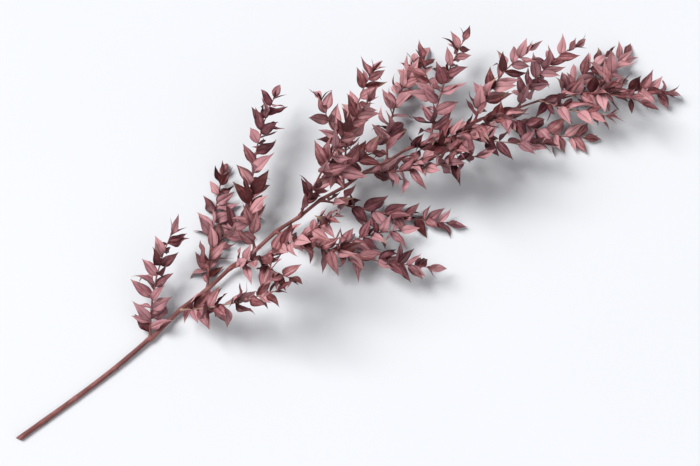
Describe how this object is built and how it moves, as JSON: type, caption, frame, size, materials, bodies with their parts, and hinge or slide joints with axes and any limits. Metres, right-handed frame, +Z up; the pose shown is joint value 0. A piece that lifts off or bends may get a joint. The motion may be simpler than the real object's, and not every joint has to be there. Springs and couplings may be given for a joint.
{
  "type": "dried ruscus stem",
  "caption": "Cut stem of dried, dyed ruscus laid flat: a slim woody main stem with leafy side shoots to both sides.",
  "frame": {"origin": "middle of the footprint, on the surface the stem lies on", "axes": "+X from the cut end to the leafy tip, +Z up from the surface, +Y to the left of the stem seen from above"},
  "size_m": [0.7429, 0.2534, 0.1294],
  "materials": {
    "dyed_bark": "smooth woody bark dyed a dark wine brown, satin",
    "dyed_leaf": "dried leaf dyed a dusty rose brown, satin, with fine lengthwise veins"
  },
  "bodies": {
    "root": {"main_stem": "dyed_bark", "side_shoot_01": "dyed_leaf", "side_shoot_02": "dyed_leaf", "side_shoot_03": "dyed_leaf", "side_shoot_04": "dyed_leaf", "side_shoot_05": "dyed_leaf", "side_shoot_06": "dyed_leaf", "side_shoot_07": "dyed_leaf", "side_shoot_08": "dyed_leaf", "side_shoot_09": "dyed_leaf", "side_shoot_10": "dyed_leaf", "side_shoot_11": "dyed_leaf", "side_shoot_12": "dyed_leaf", "side_shoot_13": "dyed_leaf", "side_shoot_14": "dyed_leaf", "side_shoot_15": "dyed_leaf", "side_shoot_16": "dyed_leaf", "side_shoot_17": "dyed_leaf", "side_shoot_18": "dyed_leaf", "side_shoot_19": "dyed_leaf", "side_shoot_20": "dyed_leaf", "side_shoot_21": "dyed_leaf"}
  },
  "joints": []
}
